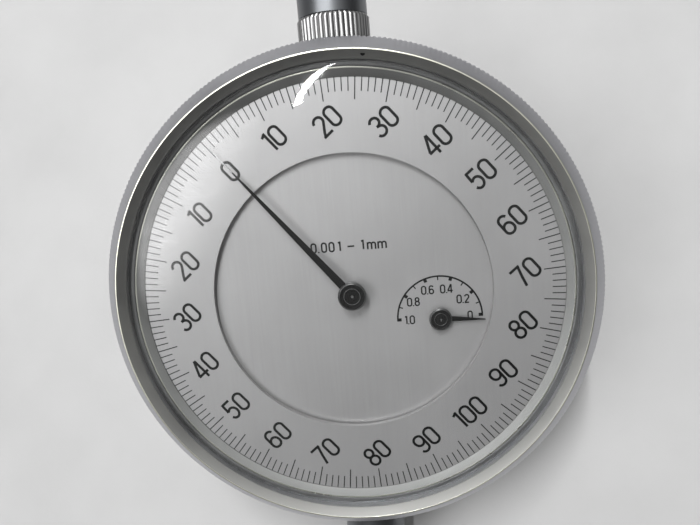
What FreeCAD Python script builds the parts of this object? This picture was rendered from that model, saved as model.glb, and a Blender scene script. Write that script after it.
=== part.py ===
import FreeCAD, Part
import os
import math
os.makedirs("parts", exist_ok=True)

# ---------------------------------------------------------------- dimensions (mm)
# Row frame: origin at the stem's lower end on the spindle axis, +Z up along the
# spindle, the dial faces -Y. Helpers below take (x, y, d): x to the right, y up from
# the dial centre, d depth behind the dial ring's face.
DIAL_Z = 44.0          # dial centre above the stem's lower end
AXIS_D = 8.5           # spindle axis behind the dial face

BEZEL_R = 28.5         # knurled rim
CREST_R = 26.95        # highest edge of the bezel
CREST_D = -2.3
BEZEL_BACK = 3.9
KNURLS = 320
RING_BORE_R = 16.25    # numbered ring, inner edge
RING_R = 25.4          # seat of the ring in the bezel
RING_T = 0.6
RETAIN_R = 24.38
CRYSTAL_R = 26.1
CRYSTAL_TOP = -2.95
INNER_DIAL_R = 17.8
INNER_DIAL_D = 0.9
INNER_DIAL_T = 0.5

CASE_R = 26.6
CASE_IN_R = 24.3
SPIGOT_R = 25.85
SPIGOT_BORE = 25.9
CASE_D0, CASE_D1 = 1.2, 16.0
COVER_D0, COVER_D1 = 16.2, 17.7
BOSS_RAD, BOSS_R = 22.3, 1.8
BOSS_ANGLES = (45, 135, 225, 315)
LUG_T = 5.0
LUG_HOLE_R = 3.25
LUG_HOLE_D = 23.9
LUG_R = 5.2

STEM_R = 4.0
STEM_LEN = 19.7
STEM_IN_R = 3.6        # stem inside the case boss
BOSS_Y = -29.2         # lower face of the case boss
SPINDLE_R = 2.0
BUSH_R = 2.05
SPINDLE_BOTTOM, SPINDLE_TOP = -52.0, 36.0
TRAVEL = 1.0
TUBE_R = 4.16
COLLAR_R = 4.35
COLLAR_Y0, COLLAR_Y1 = 28.2, 32.15
CAP_TOP = 43.0

PLATE1_D0, PLATE1_D1 = 1.9, 2.9      # front plate
PLATE2_D0, PLATE2_D1 = 5.5, 6.2      # middle plate
COCK_D0, COCK_D1 = 11.3, 12.3        # rear cock behind the spindle
PILLARS = ((-16.0, 0.0), (12.0, 13.0), (-11.0, -14.0))

# gear train: 1 mm of travel turns the centre arbor five times
RACK_PITCH = 0.625
RACK_X = 1.75
N_RACK = 16
MOD_RACK = RACK_PITCH / math.pi
N_FIRST, N_PIN2, MOD1 = 100, 10, 0.2
N_SECOND, N_CENTRE = 60, 12
N_COUNTER, N_TAKEUP = 120, 90
COUNTER = (9.98, -3.66)
MOD2 = math.hypot(*COUNTER) / ((N_COUNTER + N_CENTRE) / 2.0)
FIRST = (RACK_X + MOD_RACK * N_RACK / 2.0, -13.0)
PIVOT_R, PIVOT_BORE = 0.20, 0.23
ARBOR_R, ARBOR_BORE = 0.40, 0.43
JEWEL_R = 0.95


def two_circles(c0, r0, c1, r1, side):
    dx, dy = c1[0] - c0[0], c1[1] - c0[1]
    dd = math.hypot(dx, dy)
    a = (r0 * r0 - r1 * r1 + dd * dd) / (2 * dd)
    h = math.sqrt(r0 * r0 - a * a)
    ux, uy = dx / dd, dy / dd
    return (c0[0] + a * ux - side * h * uy, c0[1] + a * uy + side * h * ux)


SECOND = two_circles((0, 0), MOD2 * (N_SECOND + N_CENTRE) / 2.0, FIRST,
                     MOD1 * (N_FIRST + N_PIN2) / 2.0, -1)
TAKE_DIST = MOD2 * (N_TAKEUP + N_CENTRE) / 2.0
TAKEUP = (TAKE_DIST * math.cos(math.radians(115)), TAKE_DIST * math.sin(math.radians(115)))


# ---------------------------------------------------------------- helpers
def P(x, y, d):
    return FreeCAD.Vector(x, d - AXIS_D, y + DIAL_Z)


DX = FreeCAD.Vector(1, 0, 0)
DY = FreeCAD.Vector(0, 1, 0)
DZ = FreeCAD.Vector(0, 0, 1)


def cyl_d(x, y, d0, d1, r):
    return Part.makeCylinder(r, d1 - d0, P(x, y, d0), DY)


def cyl_y(x, d, y0, y1, r):
    return Part.makeCylinder(r, y1 - y0, P(x, y0, d), DZ)


def ring_d(x, y, d0, d1, ri, ro):
    return cyl_d(x, y, d0, d1, ro).cut(cyl_d(x, y, d0 - 1, d1 + 1, ri))


def ring_y(x, d, y0, y1, ri, ro):
    return cyl_y(x, d, y0, y1, ro).cut(cyl_y(x, d, y0 - 1, y1 + 1, ri))


def box(x0, x1, y0, y1, d0, d1):
    return Part.makeBox(x1 - x0, d1 - d0, y1 - y0, P(x0, y0, d0))


def revolve_d(pts, x=0.0, y=0.0):
    """Closed (r, d) profile turned about the depth axis through x, y."""
    v = [P(x + r, y, d) for r, d in pts]
    face = Part.Face(Part.makePolygon(v + [v[0]]))
    return face.revolve(P(x, y, 0), DY, 360)


def revolve_y(pts, x=0.0, d=AXIS_D):
    """Closed (r, y) profile turned about the vertical axis through x, d."""
    v = [P(x + r, yy, d) for r, yy in pts]
    face = Part.Face(Part.makePolygon(v + [v[0]]))
    return face.revolve(P(x, 0, d), DZ, 360)


def prism_d(pts, d0, d1):
    v = [P(x, y, d0) for x, y in pts]
    face = Part.Face(Part.makePolygon(v + [v[0]]))
    return face.extrude(DY * (d1 - d0))


def solid(shape):
    shape = shape.removeSplitter() if hasattr(shape, "removeSplitter") else shape
    s = shape.Solids
    return s[0] if len(s) == 1 else Part.Compound(s)


def gear(n, m, cx, cy, d0, d1, phase, add=0.9, ded=1.2, thick=0.40, bore=None, spokes=0):
    """Spur gear: trapezoid teeth, one tooth centred at `phase` degrees."""
    rp = n * m / 2.0
    ra, rf = rp + add * m, rp - ded * m
    pa = 2 * math.pi / n
    w = thick * pa / 2.0
    slope = math.tan(math.radians(20))
    wt = max(w - add * m * slope / rp, 0.10 * pa)
    wf = min(w + ded * m * slope / rp, 0.46 * pa)
    pts = []
    for i in range(n):
        c = math.radians(phase) + i * pa
        for r, a in ((rf, -wf), (ra, -wt), (ra, wt), (rf, wf)):
            pts.append((cx + r * math.cos(c + a), cy + r * math.sin(c + a)))
    g = prism_d(pts, d0, d1)
    if spokes:
        r_in, r_out = 0.26 * rf + 0.5, 0.86 * rf
        half = math.radians(360.0 / spokes / 2.0)
        for k in range(spokes):
            c = 2 * math.pi * k / spokes
            a0, a1 = c + 0.22 * half * 2, c + 2 * half - 0.22 * half * 2
            q = []
            for j in range(9):
                a = a0 + (a1 - a0) * j / 8.0
                q.append((cx + r_out * math.cos(a), cy + r_out * math.sin(a)))
            for j in range(9):
                a = a1 + (a0 - a1) * j / 8.0
                q.append((cx + r_in * math.cos(a), cy + r_in * math.sin(a)))
            g = g.cut(prism_d(q, d0 - 1, d1 + 1))
    if bore:
        g = g.cut(cyl_d(cx, cy, d0 - 1, d1 + 1, bore))
    return g


def mesh_phase(ca, na, phase_a, cb, nb):
    """Phase of gear b so that it meshes with gear a at rest."""
    th = math.degrees(math.atan2(cb[1] - ca[1], cb[0] - ca[0]))
    ua = (th - phase_a) / (360.0 / na)
    return th + 180.0 - (360.0 / nb) * (0.5 - ua)


def screw_d(x, y, head_d, direction, head_r, head_t, shank_r, length, slot=0.25):
    """Slotted cheese-head screw along the depth axis. direction +1: shank runs deeper."""
    if direction > 0:
        s = cyl_d(x, y, head_d, head_d + head_t, head_r)
        s = s.fuse(cyl_d(x, y, head_d + head_t, head_d + head_t + length, shank_r))
        s = s.cut(box(x - head_r - 1, x + head_r + 1, y - slot / 2, y + slot / 2,
                      head_d - 1, head_d + head_t * 0.45))
    else:
        s = cyl_d(x, y, head_d - head_t, head_d, head_r)
        s = s.fuse(cyl_d(x, y, head_d - head_t - length, head_d - head_t, shank_r))
        s = s.cut(box(x - head_r - 1, x + head_r + 1, y - slot / 2, y + slot / 2,
                      head_d - head_t * 0.45, head_d + 1))
    return s.removeSplitter()


nodes = {}


def put(name, shape):
    nodes[name] = solid(shape)


def group(name, shapes):
    nodes[name] = Part.Compound([solid(s) for s in shapes])


# ---------------------------------------------------------------- bezel body
bezel = revolve_d([
    (CREST_R - 0.1, CREST_D), (CREST_R + 0.1, CREST_D + 0.03), (28.36, -0.86), (BEZEL_R, -0.62),
    (BEZEL_R, 3.55), (28.2, BEZEL_BACK), (SPIGOT_BORE, BEZEL_BACK), (SPIGOT_BORE, 2.95),
    (26.2, 2.95), (26.2, 2.25), (SPIGOT_BORE, 2.25), (SPIGOT_BORE, 1.0), (24.9, 1.0),
    (24.9, RING_T), (RING_R, RING_T), (RING_R, -0.6), (CRYSTAL_R, -0.6), (CRYSTAL_R, -1.45),
    (26.0, -1.5)])
knurl = []
for i in range(KNURLS):
    a0 = 2 * math.pi * i / KNURLS
    for f, r in ((0.0, BEZEL_R - 0.16), (0.38, BEZEL_R + 0.02), (0.62, BEZEL_R + 0.02)):
        a = a0 + 2 * math.pi / KNURLS * f
        knurl.append((r * math.cos(a), r * math.sin(a)))
band = ring_d(0, 0, -0.72, 3.62, 27.6, 30.0).cut(prism_d(knurl, -2.0, 6.0))
bezel = bezel.cut(band)
put("bezel", bezel)

put("crystal", revolve_d([
    (0, CRYSTAL_TOP), (8, CRYSTAL_TOP + 0.03), (14, CRYSTAL_TOP + 0.1), (19, CRYSTAL_TOP + 0.22),
    (22, CRYSTAL_TOP + 0.36), (24, CRYSTAL_TOP + 0.58), (25.2, CRYSTAL_TOP + 0.9),
    (25.9, -1.5), (CRYSTAL_R, -1.42), (CRYSTAL_R, -0.6), (25.4, -0.6), (25.2, -0.95),
    (24.3, -1.35), (22.5, -1.66), (19, -1.82), (12, -1.93), (0, -1.98)]))

put("dial_ring", revolve_d([(RING_BORE_R, 0), (RING_R, 0), (RING_R, RING_T),
                            (RING_BORE_R, RING_T)]))
put("retaining_ring", revolve_d([
    (RETAIN_R, 0), (RETAIN_R, -0.2), (25.1, -0.22), (25.3, -0.5), (RING_R, -0.5), (RING_R, 0)]))

# ---------------------------------------------------------------- case
case = revolve_d([
    (CASE_IN_R, CASE_D0), (SPIGOT_R - 0.15, CASE_D0), (SPIGOT_R, CASE_D0 + 0.15),
    (SPIGOT_R, 2.25), (25.5, 2.25), (25.5, 2.95), (SPIGOT_R, 2.95), (SPIGOT_R, 4.15),
    (CASE_R - 0.2, 4.15), (CASE_R, 4.35), (CASE_R, CASE_D1), (CASE_IN_R, CASE_D1)])
inner = cyl_d(0, 0, CASE_D0 - 1, CASE_D1 + 1, CASE_IN_R)
clip = box(-40, 40, -60, 60, 4.3, 14.9)
lower_boss = cyl_y(0, AXIS_D, BOSS_Y, -22.0, 6.2).common(clip)
upper_boss = cyl_y(0, AXIS_D, 22.0, COLLAR_Y0, 5.8).common(clip)
case = case.fuse([lower_boss.cut(inner), upper_boss.cut(inner)])
ears = []
for a in BOSS_ANGLES:
    x, y = BOSS_RAD * math.cos(math.radians(a)), BOSS_RAD * math.sin(math.radians(a))
    t = math.radians(a)
    ux, uy = math.cos(t), math.sin(t)
    web = prism_d([(x - uy * BOSS_R, y + ux * BOSS_R), (x - uy * BOSS_R + ux * 2.9, y + ux * BOSS_R + uy * 2.9),
                   (x + uy * BOSS_R + ux * 2.9, y - ux * BOSS_R + uy * 2.9), (x + uy * BOSS_R, y - ux * BOSS_R)],
                  PLATE1_D1, CASE_D1)
    ears.append(cyl_d(x, y, PLATE1_D1, CASE_D1, BOSS_R).fuse(web).common(cyl_d(0, 0, 0, 20, CASE_IN_R + 0.4)))
case = case.fuse(ears)
for a in BOSS_ANGLES:
    x, y = BOSS_RAD * math.cos(math.radians(a)), BOSS_RAD * math.sin(math.radians(a))
    case = case.cut([cyl_d(x, y, PLATE1_D1 - 0.1, 6.2, 0.6), cyl_d(x, y, 12.0, CASE_D1 + 1, 0.7)])
case = case.cut([cyl_y(0, AXIS_D, -30, -20, STEM_IN_R), cyl_y(0, AXIS_D, 20, 30, 3.2)])
put("case", case)

put("bezel_wire", revolve_d([(25.86 + 0.24 * math.cos(math.radians(a)), 2.6 + 0.24 * math.sin(math.radians(a)))
                             for a in range(0, 360, 45)]).cut(box(-1.2, 1.2, 20, 30, 1.5, 3.5)))

put("gasket", ring_d(0, 0, CASE_D1, COVER_D0, CASE_IN_R + 0.2, CASE_R - 0.3))
cover = revolve_d([(0, COVER_D0), (CASE_R, COVER_D0), (CASE_R, COVER_D1 - 0.5), (CASE_R - 0.5, COVER_D1),
                   (11.0, COVER_D1), (11.0, COVER_D1 - 0.3), (9.2, COVER_D1 - 0.3), (9.2, COVER_D1), (0, COVER_D1)])
cover_screws = []
for a in BOSS_ANGLES:
    x, y = BOSS_RAD * math.cos(math.radians(a)), BOSS_RAD * math.sin(math.radians(a))
    cover = cover.cut([cyl_d(x, y, 15, 19, 0.9), cyl_d(x, y, COVER_D1 - 0.6, 19, 1.5)])
    cover_screws.append(screw_d(x, y, COVER_D1 + 0.25, -1, 1.4, 0.8, 0.68, 4.2, 0.35))
LUG_SCREWS = [(sx * 5.4, sy * 4.0) for sx in (-1, 1) for sy in (-1, 1)]
lug_foot = cyl_d(0, 0, COVER_D1, COVER_D1 + 1.3, 8.6)
lug = lug_foot.fuse(box(-LUG_T / 2, LUG_T / 2, -LUG_R, LUG_R, COVER_D1, LUG_HOLE_D))
lug = lug.fuse(Part.makeCylinder(LUG_R, LUG_T, P(-LUG_T / 2, 0, LUG_HOLE_D), DX))
lug = lug.cut(Part.makeCylinder(LUG_HOLE_R, LUG_T + 2, P(-LUG_T / 2 - 1, 0, LUG_HOLE_D), DX))
lug_screws = []
for x, y in LUG_SCREWS:
    lug = lug.cut(cyl_d(x, y, 17, 20, 0.75))
    cover = cover.cut(cyl_d(x, y, 15, 19, 0.7))
    lug_screws.append(screw_d(x, y, COVER_D1 + 2.0, -1, 1.3, 0.7, 0.68, 2.6, 0.3))
put("back_cover", cover)
put("lug", lug)
group("cover_screws", cover_screws)
group("lug_screws", lug_screws)

# ---------------------------------------------------------------- stem, bushes, cap
put("stem", revolve_y([(3.0, -DIAL_Z), (STEM_R - 0.3, -DIAL_Z), (STEM_R, -DIAL_Z + 0.3),
                       (STEM_R, BOSS_Y), (STEM_IN_R, BOSS_Y), (STEM_IN_R, -DIAL_Z + STEM_LEN),
                       (3.0, -DIAL_Z + STEM_LEN)]))
put("lower_bush", revolve_y([(BUSH_R, -43.6), (3.0, -43.6), (3.0, -35.0), (BUSH_R, -35.0)]))
put("upper_bush", revolve_y([(BUSH_R, 22.8), (4.4, 22.8), (4.4, 24.0), (3.2, 24.0), (3.2, 31.5), (BUSH_R, 31.5)])
    .cut(box(-6, 6, 20, 24.1, AXIS_D + 3.0, 20)).cut(box(-6, 6, 20, 24.1, 0, AXIS_D - 1.9)))
collar_pts = []
n_col = 42
for i in range(n_col):
    for f, r in ((0.0, COLLAR_R - 0.16), (0.32, COLLAR_R), (0.68, COLLAR_R)):
        a = 2 * math.pi / n_col * (i + f)
        collar_pts.append((r * math.cos(a), r * math.sin(a)))
v = [P(x, COLLAR_Y0, AXIS_D) + FreeCAD.Vector(0, yy, 0) for x, yy in collar_pts]
collar = Part.Face(Part.makePolygon(v + [v[0]])).extrude(DZ * (COLLAR_Y1 - COLLAR_Y0))
collar = collar.common(revolve_y([(3.2, COLLAR_Y0), (COLLAR_R - 0.2, COLLAR_Y0), (COLLAR_R + 0.05, COLLAR_Y0 + 0.25),
                                  (COLLAR_R + 0.05, COLLAR_Y1 - 0.25), (COLLAR_R - 0.2, COLLAR_Y1), (3.2, COLLAR_Y1)]))
put("cap_collar", collar)
put("spindle_cap", revolve_y([(0, 41.8), (2.9, 41.8), (2.9, COLLAR_Y1), (TUBE_R, COLLAR_Y1), (TUBE_R, 41.6),
                              (TUBE_R - 0.3, 42.4), (TUBE_R - 1.1, 42.85), (0, CAP_TOP)]))

# ---------------------------------------------------------------- spindle body
spindle = revolve_y([(0, SPINDLE_BOTTOM), (SPINDLE_R - 0.2, SPINDLE_BOTTOM), (SPINDLE_R, SPINDLE_BOTTOM + 0.2),
                     (SPINDLE_R, SPINDLE_TOP - 0.3), (SPINDLE_R - 0.3, SPINDLE_TOP), (0, SPINDLE_TOP)])
RACK_Y0, RACK_Y1 = -17.2, -8.8
spindle = spindle.cut([box(0.6, 3, RACK_Y0, RACK_Y1, 7.7, 9.3), box(1.48, 3, RACK_Y0, RACK_Y1, 5, 12), cyl_y(0, AXIS_D, SPINDLE_BOTTOM - 1, -48.0, 1.2),
                       Part.makeCylinder(0.6, 4.0, P(-3.0, 2.0, AXIS_D), DX),
                       cyl_d(0, 10.0, 8.0, 12.0, 0.8)])
put("spindle", spindle)
tooth = MOD_RACK
pts = [(0.6, RACK_Y0)]
n_teeth = 12
y_first = FIRST[1] - 0.5 * RACK_PITCH - (n_teeth // 2 - 1) * RACK_PITCH
xr, xt = RACK_X - 1.15 * tooth, RACK_X + 0.85 * tooth
pts.append((xr, RACK_Y0))
for k in range(n_teeth):
    yc = y_first + k * RACK_PITCH
    hw_t, hw_r = 0.075, 0.20
    pts += [(xr, yc - hw_r), (xt, yc - hw_t), (xt, yc + hw_t), (xr, yc + hw_r)]
pts += [(xr, RACK_Y1), (0.6, RACK_Y1)]
put("rack", prism_d(pts, 7.7, 9.3))
put("guide_pin", cyl_d(0, 10.0, 8.0, 13.6, 0.8))
put("stop_collar", revolve_y([(SPINDLE_R, -24.2), (2.75, -24.2), (2.9, -24.0), (2.9, -21.4), (2.75, -21.2), (SPINDLE_R, -21.2)]))
SPRING_X = -7.6
put("spring_arm", Part.makeCylinder(0.6, 7.9, P(-8.9, 2.0, AXIS_D), DX)
    .cut(Part.makeTorus(0.66, 0.2, P(SPRING_X, 2.0, AXIS_D), DX)))
put("contact_point", revolve_y([(0, -48.1), (1.2, -48.1), (1.2, -52.0), (2.2, -52.0), (2.2, -53.4), (1.9, -53.8),
                                (1.15, -57.6), (1.15, -58.2), (0, -58.2)])
    .cut(Part.makeSphere(1.5, P(0, -59.1, AXIS_D))))
put("contact_ball", Part.makeSphere(1.5, P(0, -59.1, AXIS_D)))

# ---------------------------------------------------------------- plates
front = cyl_d(0, 0, PLATE1_D0, PLATE1_D1, 23.9)
middle = cyl_d(0, 0, PLATE2_D0, PLATE2_D1, 20.0)
# windows that clear the plates between the bearings
front = front.cut([cyl_d(-13.5, 8.5, 0, 4, 3.6), cyl_d(3.5, 17.0, 0, 4, 3.4), cyl_d(-12.5, -9.0, 0, 4, 3.2),
                   cyl_d(17.0, 6.0, 0, 4, 2.6)])
middle = middle.cut([cyl_d(-12.5, 9.5, 4, 8, 4.0), cyl_d(3.5, 15.5, 4, 8, 2.4), cyl_d(14.5, 5.5, 4, 8, 3.2)])
jewels1, jewels2 = [], []
for (x, y), bore in (((0, 0), ARBOR_BORE), (COUNTER, ARBOR_BORE), (FIRST, PIVOT_BORE), (SECOND, PIVOT_BORE),
                     (TAKEUP, PIVOT_BORE)):
    front = front.cut(cyl_d(x, y, 0, 4, JEWEL_R))
    jewels1.append(ring_d(x, y, PLATE1_D0, PLATE1_D1, bore, JEWEL_R))
for x, y in ((0, 0), COUNTER, SECOND, TAKEUP):
    middle = middle.cut(cyl_d(x, y, 4, 8, JEWEL_R))
    jewels2.append(ring_d(x, y, PLATE2_D0, PLATE2_D1, PIVOT_BORE, JEWEL_R))
middle = middle.cut(cyl_d(FIRST[0], FIRST[1], 4, 8, 1.1))
plate_screws = []
for a in BOSS_ANGLES:
    x, y = BOSS_RAD * math.cos(math.radians(a)), BOSS_RAD * math.sin(math.radians(a))
    front = front.cut(cyl_d(x, y, 0, 4, 0.7))
    plate_screws.append(screw_d(x, y, PLATE1_D0 - 0.6, 1, 1.3, 0.6, 0.58, 3.4))
pillars, pillar_screws = [], []
for x, y in PILLARS:
    front = front.cut([cyl_d(x, y, 0, 4, 0.6), cyl_d(x, y, 0, PLATE1_D0 + 0.4, 1.1)])
    middle = middle.cut(cyl_d(x, y, 4, 8, 0.6))
    pillars.append(cyl_d(x, y, PLATE1_D1, PLATE2_D0, 1.3).cut(cyl_d(x, y, 2, 7, 0.5)))
    pillar_screws.append(screw_d(x, y, PLATE1_D0, 1, 1.0, 0.4, 0.49, 1.5))
    pillar_screws.append(screw_d(x, y, PLATE2_D1 + 0.5, -1, 1.0, 0.5, 0.49, 1.7))
FEET = [(11.8 * math.cos(math.radians(a)), 11.8 * math.sin(math.radians(a))) for a in (75, 185, 262)]
for x, y in FEET:
    front = front.cut(cyl_d(x, y, 0, 4, 0.7))
dial = cyl_d(0, 0, INNER_DIAL_D, INNER_DIAL_D + INNER_DIAL_T, INNER_DIAL_R)
dial = dial.cut([cyl_d(0, 0, 0, 4, 0.8), cyl_d(COUNTER[0], COUNTER[1], 0, 4, 0.7)])
seats = [cyl_d(x, y, INNER_DIAL_D + INNER_DIAL_T, PLATE1_D0, 1.3).fuse(cyl_d(x, y, PLATE1_D0, PLATE1_D1 + 0.1, 0.68))
         for x, y in FEET]
put("inner_dial", dial.fuse(seats))

# rear cock, guide bar and their posts stand on the middle plate
COCK_POSTS = ((-4.3, -13.0), (10.2, -13.0))
BAR_POSTS = ((-6.0, 10.5), (6.0, 10.5))
posts, post_screws = [], []
for x, y in COCK_POSTS + BAR_POSTS:
    middle = middle.cut(cyl_d(x, y, 4, 8, 0.7))
    posts.append(cyl_d(x, y, PLATE2_D1, COCK_D0, 1.25).fuse(cyl_d(x, y, PLATE2_D0 + 0.02, PLATE2_D1, 0.7))
                 .cut(cyl_d(x, y, COCK_D0 - 2.4, 14, 0.45)))
    post_screws.append(screw_d(x, y, COCK_D1 + 0.5, -1, 1.1, 0.5, 0.44, 3.0))
SPRING_POST = (SPRING_X, -15.2)
middle = middle.cut(cyl_d(SPRING_POST[0], SPRING_POST[1], 4, 8, 0.6))


def bar(x0, x1, y, half):
    return box(x0, x1, y - half, y + half, COCK_D0, COCK_D1).fuse(
        [cyl_d(x0, y, COCK_D0, COCK_D1, half), cyl_d(x1, y, COCK_D0, COCK_D1, half)])


cock = bar(COCK_POSTS[0][0], COCK_POSTS[1][0], -13.0, 1.9)
cock = cock.cut([cyl_d(FIRST[0], FIRST[1], 10, 14, JEWEL_R)] + [cyl_d(x, y, 10, 14, 0.5) for x, y in COCK_POSTS])
put("rear_cock", cock)
guide = bar(BAR_POSTS[0][0], BAR_POSTS[1][0], 10.5, 2.9)
guide = guide.cut([box(-0.85, 0.85, 9.95, 10.0 + TRAVEL + 0.05, 10, 14), cyl_d(0, 9.95, 10, 14, 0.85),
                   cyl_d(0, 10.0 + TRAVEL + 0.05, 10, 14, 0.85)] + [cyl_d(x, y, 10, 14, 0.5) for x, y in BAR_POSTS])
put("guide_bar", guide)
group("posts", posts)
group("post_screws", post_screws)
put("cock_jewel", ring_d(FIRST[0], FIRST[1], COCK_D0, COCK_D1, PIVOT_BORE, JEWEL_R))
put("spring_post", cyl_d(SPRING_POST[0], SPRING_POST[1], PLATE2_D0 + 0.02, 10.0, 0.6))

HS_OUT = 4.6           # outer coil of the hairspring
STUD = (TAKEUP[0] + HS_OUT + 0.45, TAKEUP[1])
middle = middle.cut(cyl_d(STUD[0], STUD[1], 4, 8, 0.4))
put("hairspring_stud", cyl_d(STUD[0], STUD[1], 4.62, PLATE2_D1, 0.4))
put("front_plate", front)
put("middle_plate", middle)
group("front_jewels", jewels1)
group("middle_jewels", jewels2)
group("plate_screws", plate_screws)
group("pillars", pillars)
group("pillar_screws", pillar_screws)

# ---------------------------------------------------------------- gear train
SLOT_A, SLOT_B, SLOT_C = (3.15, 3.65), (3.95, 4.4), (4.65, 5.15)
ph_rack = 180.0
ph_first = 0.0
ph_pin2 = mesh_phase(FIRST, N_FIRST, ph_first, SECOND, N_PIN2)
ph_second = 3.0
ph_centre = mesh_phase(SECOND, N_SECOND, ph_second, (0, 0), N_CENTRE)
ph_counter = mesh_phase((0, 0), N_CENTRE, ph_centre, COUNTER, N_COUNTER)
ph_take = mesh_phase((0, 0), N_CENTRE, ph_centre, TAKEUP, N_TAKEUP)


def arbor(c, d0, d1, lo, hi, r=ARBOR_R):
    """Arbor of radius r from lo to hi with thin pivots out to d0 and d1."""
    return cyl_d(c[0], c[1], d0, d1, PIVOT_R).fuse(cyl_d(c[0], c[1], lo, hi, r))


put("first_arbor", arbor(FIRST, 2.0, 12.2, 3.0, 11.2).fuse(
    gear(N_RACK, MOD_RACK, FIRST[0], FIRST[1], 6.9, 10.1, ph_rack)))
put("first_gear", gear(N_FIRST, MOD1, FIRST[0], FIRST[1], SLOT_C[0], SLOT_C[1], ph_first, bore=ARBOR_R, spokes=5))
put("second_arbor", arbor(SECOND, 2.0, 6.1, 3.0, 5.4).fuse(
    gear(N_PIN2, MOD1, SECOND[0], SECOND[1], 4.55, 5.25, ph_pin2)))
put("second_gear", gear(N_SECOND, MOD2, SECOND[0], SECOND[1], SLOT_A[0], SLOT_A[1], ph_second, bore=ARBOR_R, spokes=4))
put("centre_arbor", cyl_d(0, 0, -0.9, 5.4, ARBOR_R).fuse(
    [cyl_d(0, 0, 5.3, 6.1, PIVOT_R), gear(N_CENTRE, MOD2, 0, 0, 3.05, 4.5, ph_centre)]))
put("counter_arbor", cyl_d(COUNTER[0], COUNTER[1], -0.05, 5.4, ARBOR_R).fuse(
    cyl_d(COUNTER[0], COUNTER[1], 5.3, 6.1, PIVOT_R)))
put("counter_gear", gear(N_COUNTER, MOD2, COUNTER[0], COUNTER[1], SLOT_B[0], SLOT_B[1], ph_counter, bore=ARBOR_R, spokes=5))
put("takeup_arbor", arbor(TAKEUP, 2.0, 6.1, 3.0, 5.4))
put("takeup_gear", gear(N_TAKEUP, MOD2, TAKEUP[0], TAKEUP[1], SLOT_B[0], SLOT_B[1], ph_take, bore=ARBOR_R, spokes=4))
put("collet", ring_d(TAKEUP[0], TAKEUP[1], SLOT_C[0], SLOT_C[1], ARBOR_R, 0.95))

# hairspring: flat spiral strip from the collet to the stud
turns, hs_in, hw = 7, 1.12, 0.05
outer_pts, inner_pts = [], []
steps = turns * 28
for i in range(steps + 1):
    t = i / float(steps)
    a = 2 * math.pi * turns * t
    r = hs_in + (HS_OUT - hs_in) * t
    outer_pts.append((TAKEUP[0] + (r + hw) * math.cos(a), TAKEUP[1] + (r + hw) * math.sin(a)))
    inner_pts.append((TAKEUP[0] + (r - hw) * math.cos(a), TAKEUP[1] + (r - hw) * math.sin(a)))
put("hairspring", prism_d(outer_pts + inner_pts[::-1], SLOT_C[0] + 0.05, SLOT_C[1] - 0.05))

# ---------------------------------------------------------------- pointers
REST = math.radians(90 + 39.0)      # main pointer's direction at rest, from +x
COUNT_REST = math.radians(-4.8)


def pointer(c, ang, half0, half1, half2, r0, r1, r2, d0, d1, eye, bore):
    ux, uy = math.cos(ang), math.sin(ang)
    q = []
    for r, h in ((r0, half0), (r1, half1), (r2, half2)):
        q.append((c[0] + ux * r - uy * h, c[1] + uy * r + ux * h))
    for r, h in ((r2, half2), (r1, half1), (r0, half0)):
        q.append((c[0] + ux * r + uy * h, c[1] + uy * r - ux * h))
    return prism_d(q, d0, d1).fuse(cyl_d(c[0], c[1], d0, d1, eye)).cut(cyl_d(c[0], c[1], d0 - 1, d1 + 1, bore))


put("pointer", pointer((0, 0), REST, 0.46, 0.17, 0.05, 0.6, 17.5, 23.1, -0.72, -0.5, 1.3, 0.7))
put("pointer_hub", revolve_d([(0, -1.15), (1.5, -1.15), (1.62, -1.0), (1.62, -0.72), (0.7, -0.72), (0.7, -0.5),
                              (1.45, -0.5), (1.45, 0.45), (ARBOR_R, 0.45), (ARBOR_R, -0.9), (0, -0.9)]))
put("counter_pointer", pointer(COUNTER, COUNT_REST, 0.28, 0.2, 0.06, 0.4, 3.0, 5.2, 0.2, 0.36, 0.95, 0.65))
put("counter_hub", revolve_d([(0, -0.25), (1.2, -0.25), (1.32, -0.12), (1.32, 0.2), (0.65, 0.2), (0.65, 0.36),
                              (1.0, 0.36), (1.0, 0.62), (ARBOR_R, 0.62), (ARBOR_R, -0.05), (0, -0.05)],
                             COUNTER[0], COUNTER[1]))

# ---------------------------------------------------------------- return spring
SP_Y0, SP_Y1 = SPRING_POST[1] + 0.8, 2.0 - 0.85
turns_s = 22
helix = Part.makeHelix((SP_Y1 - SP_Y0) / turns_s, SP_Y1 - SP_Y0, 1.05)
helix.translate(P(SPRING_X, SP_Y0, AXIS_D))
wire_r = 0.17
start = P(SPRING_X + 1.05, SP_Y0, AXIS_D)
circ = Part.Wire([Part.makeCircle(wire_r, start, FreeCAD.Vector(0, 1, 0.1))])
pipe = Part.Wire(helix.Edges).makePipeShell([circ], True, True)
put("return_spring", pipe)

for name, shape in nodes.items():
    shape.exportStep("parts/%s.step" % name)
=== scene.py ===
import bpy, bmesh, math
from mathutils import Vector, Matrix


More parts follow.
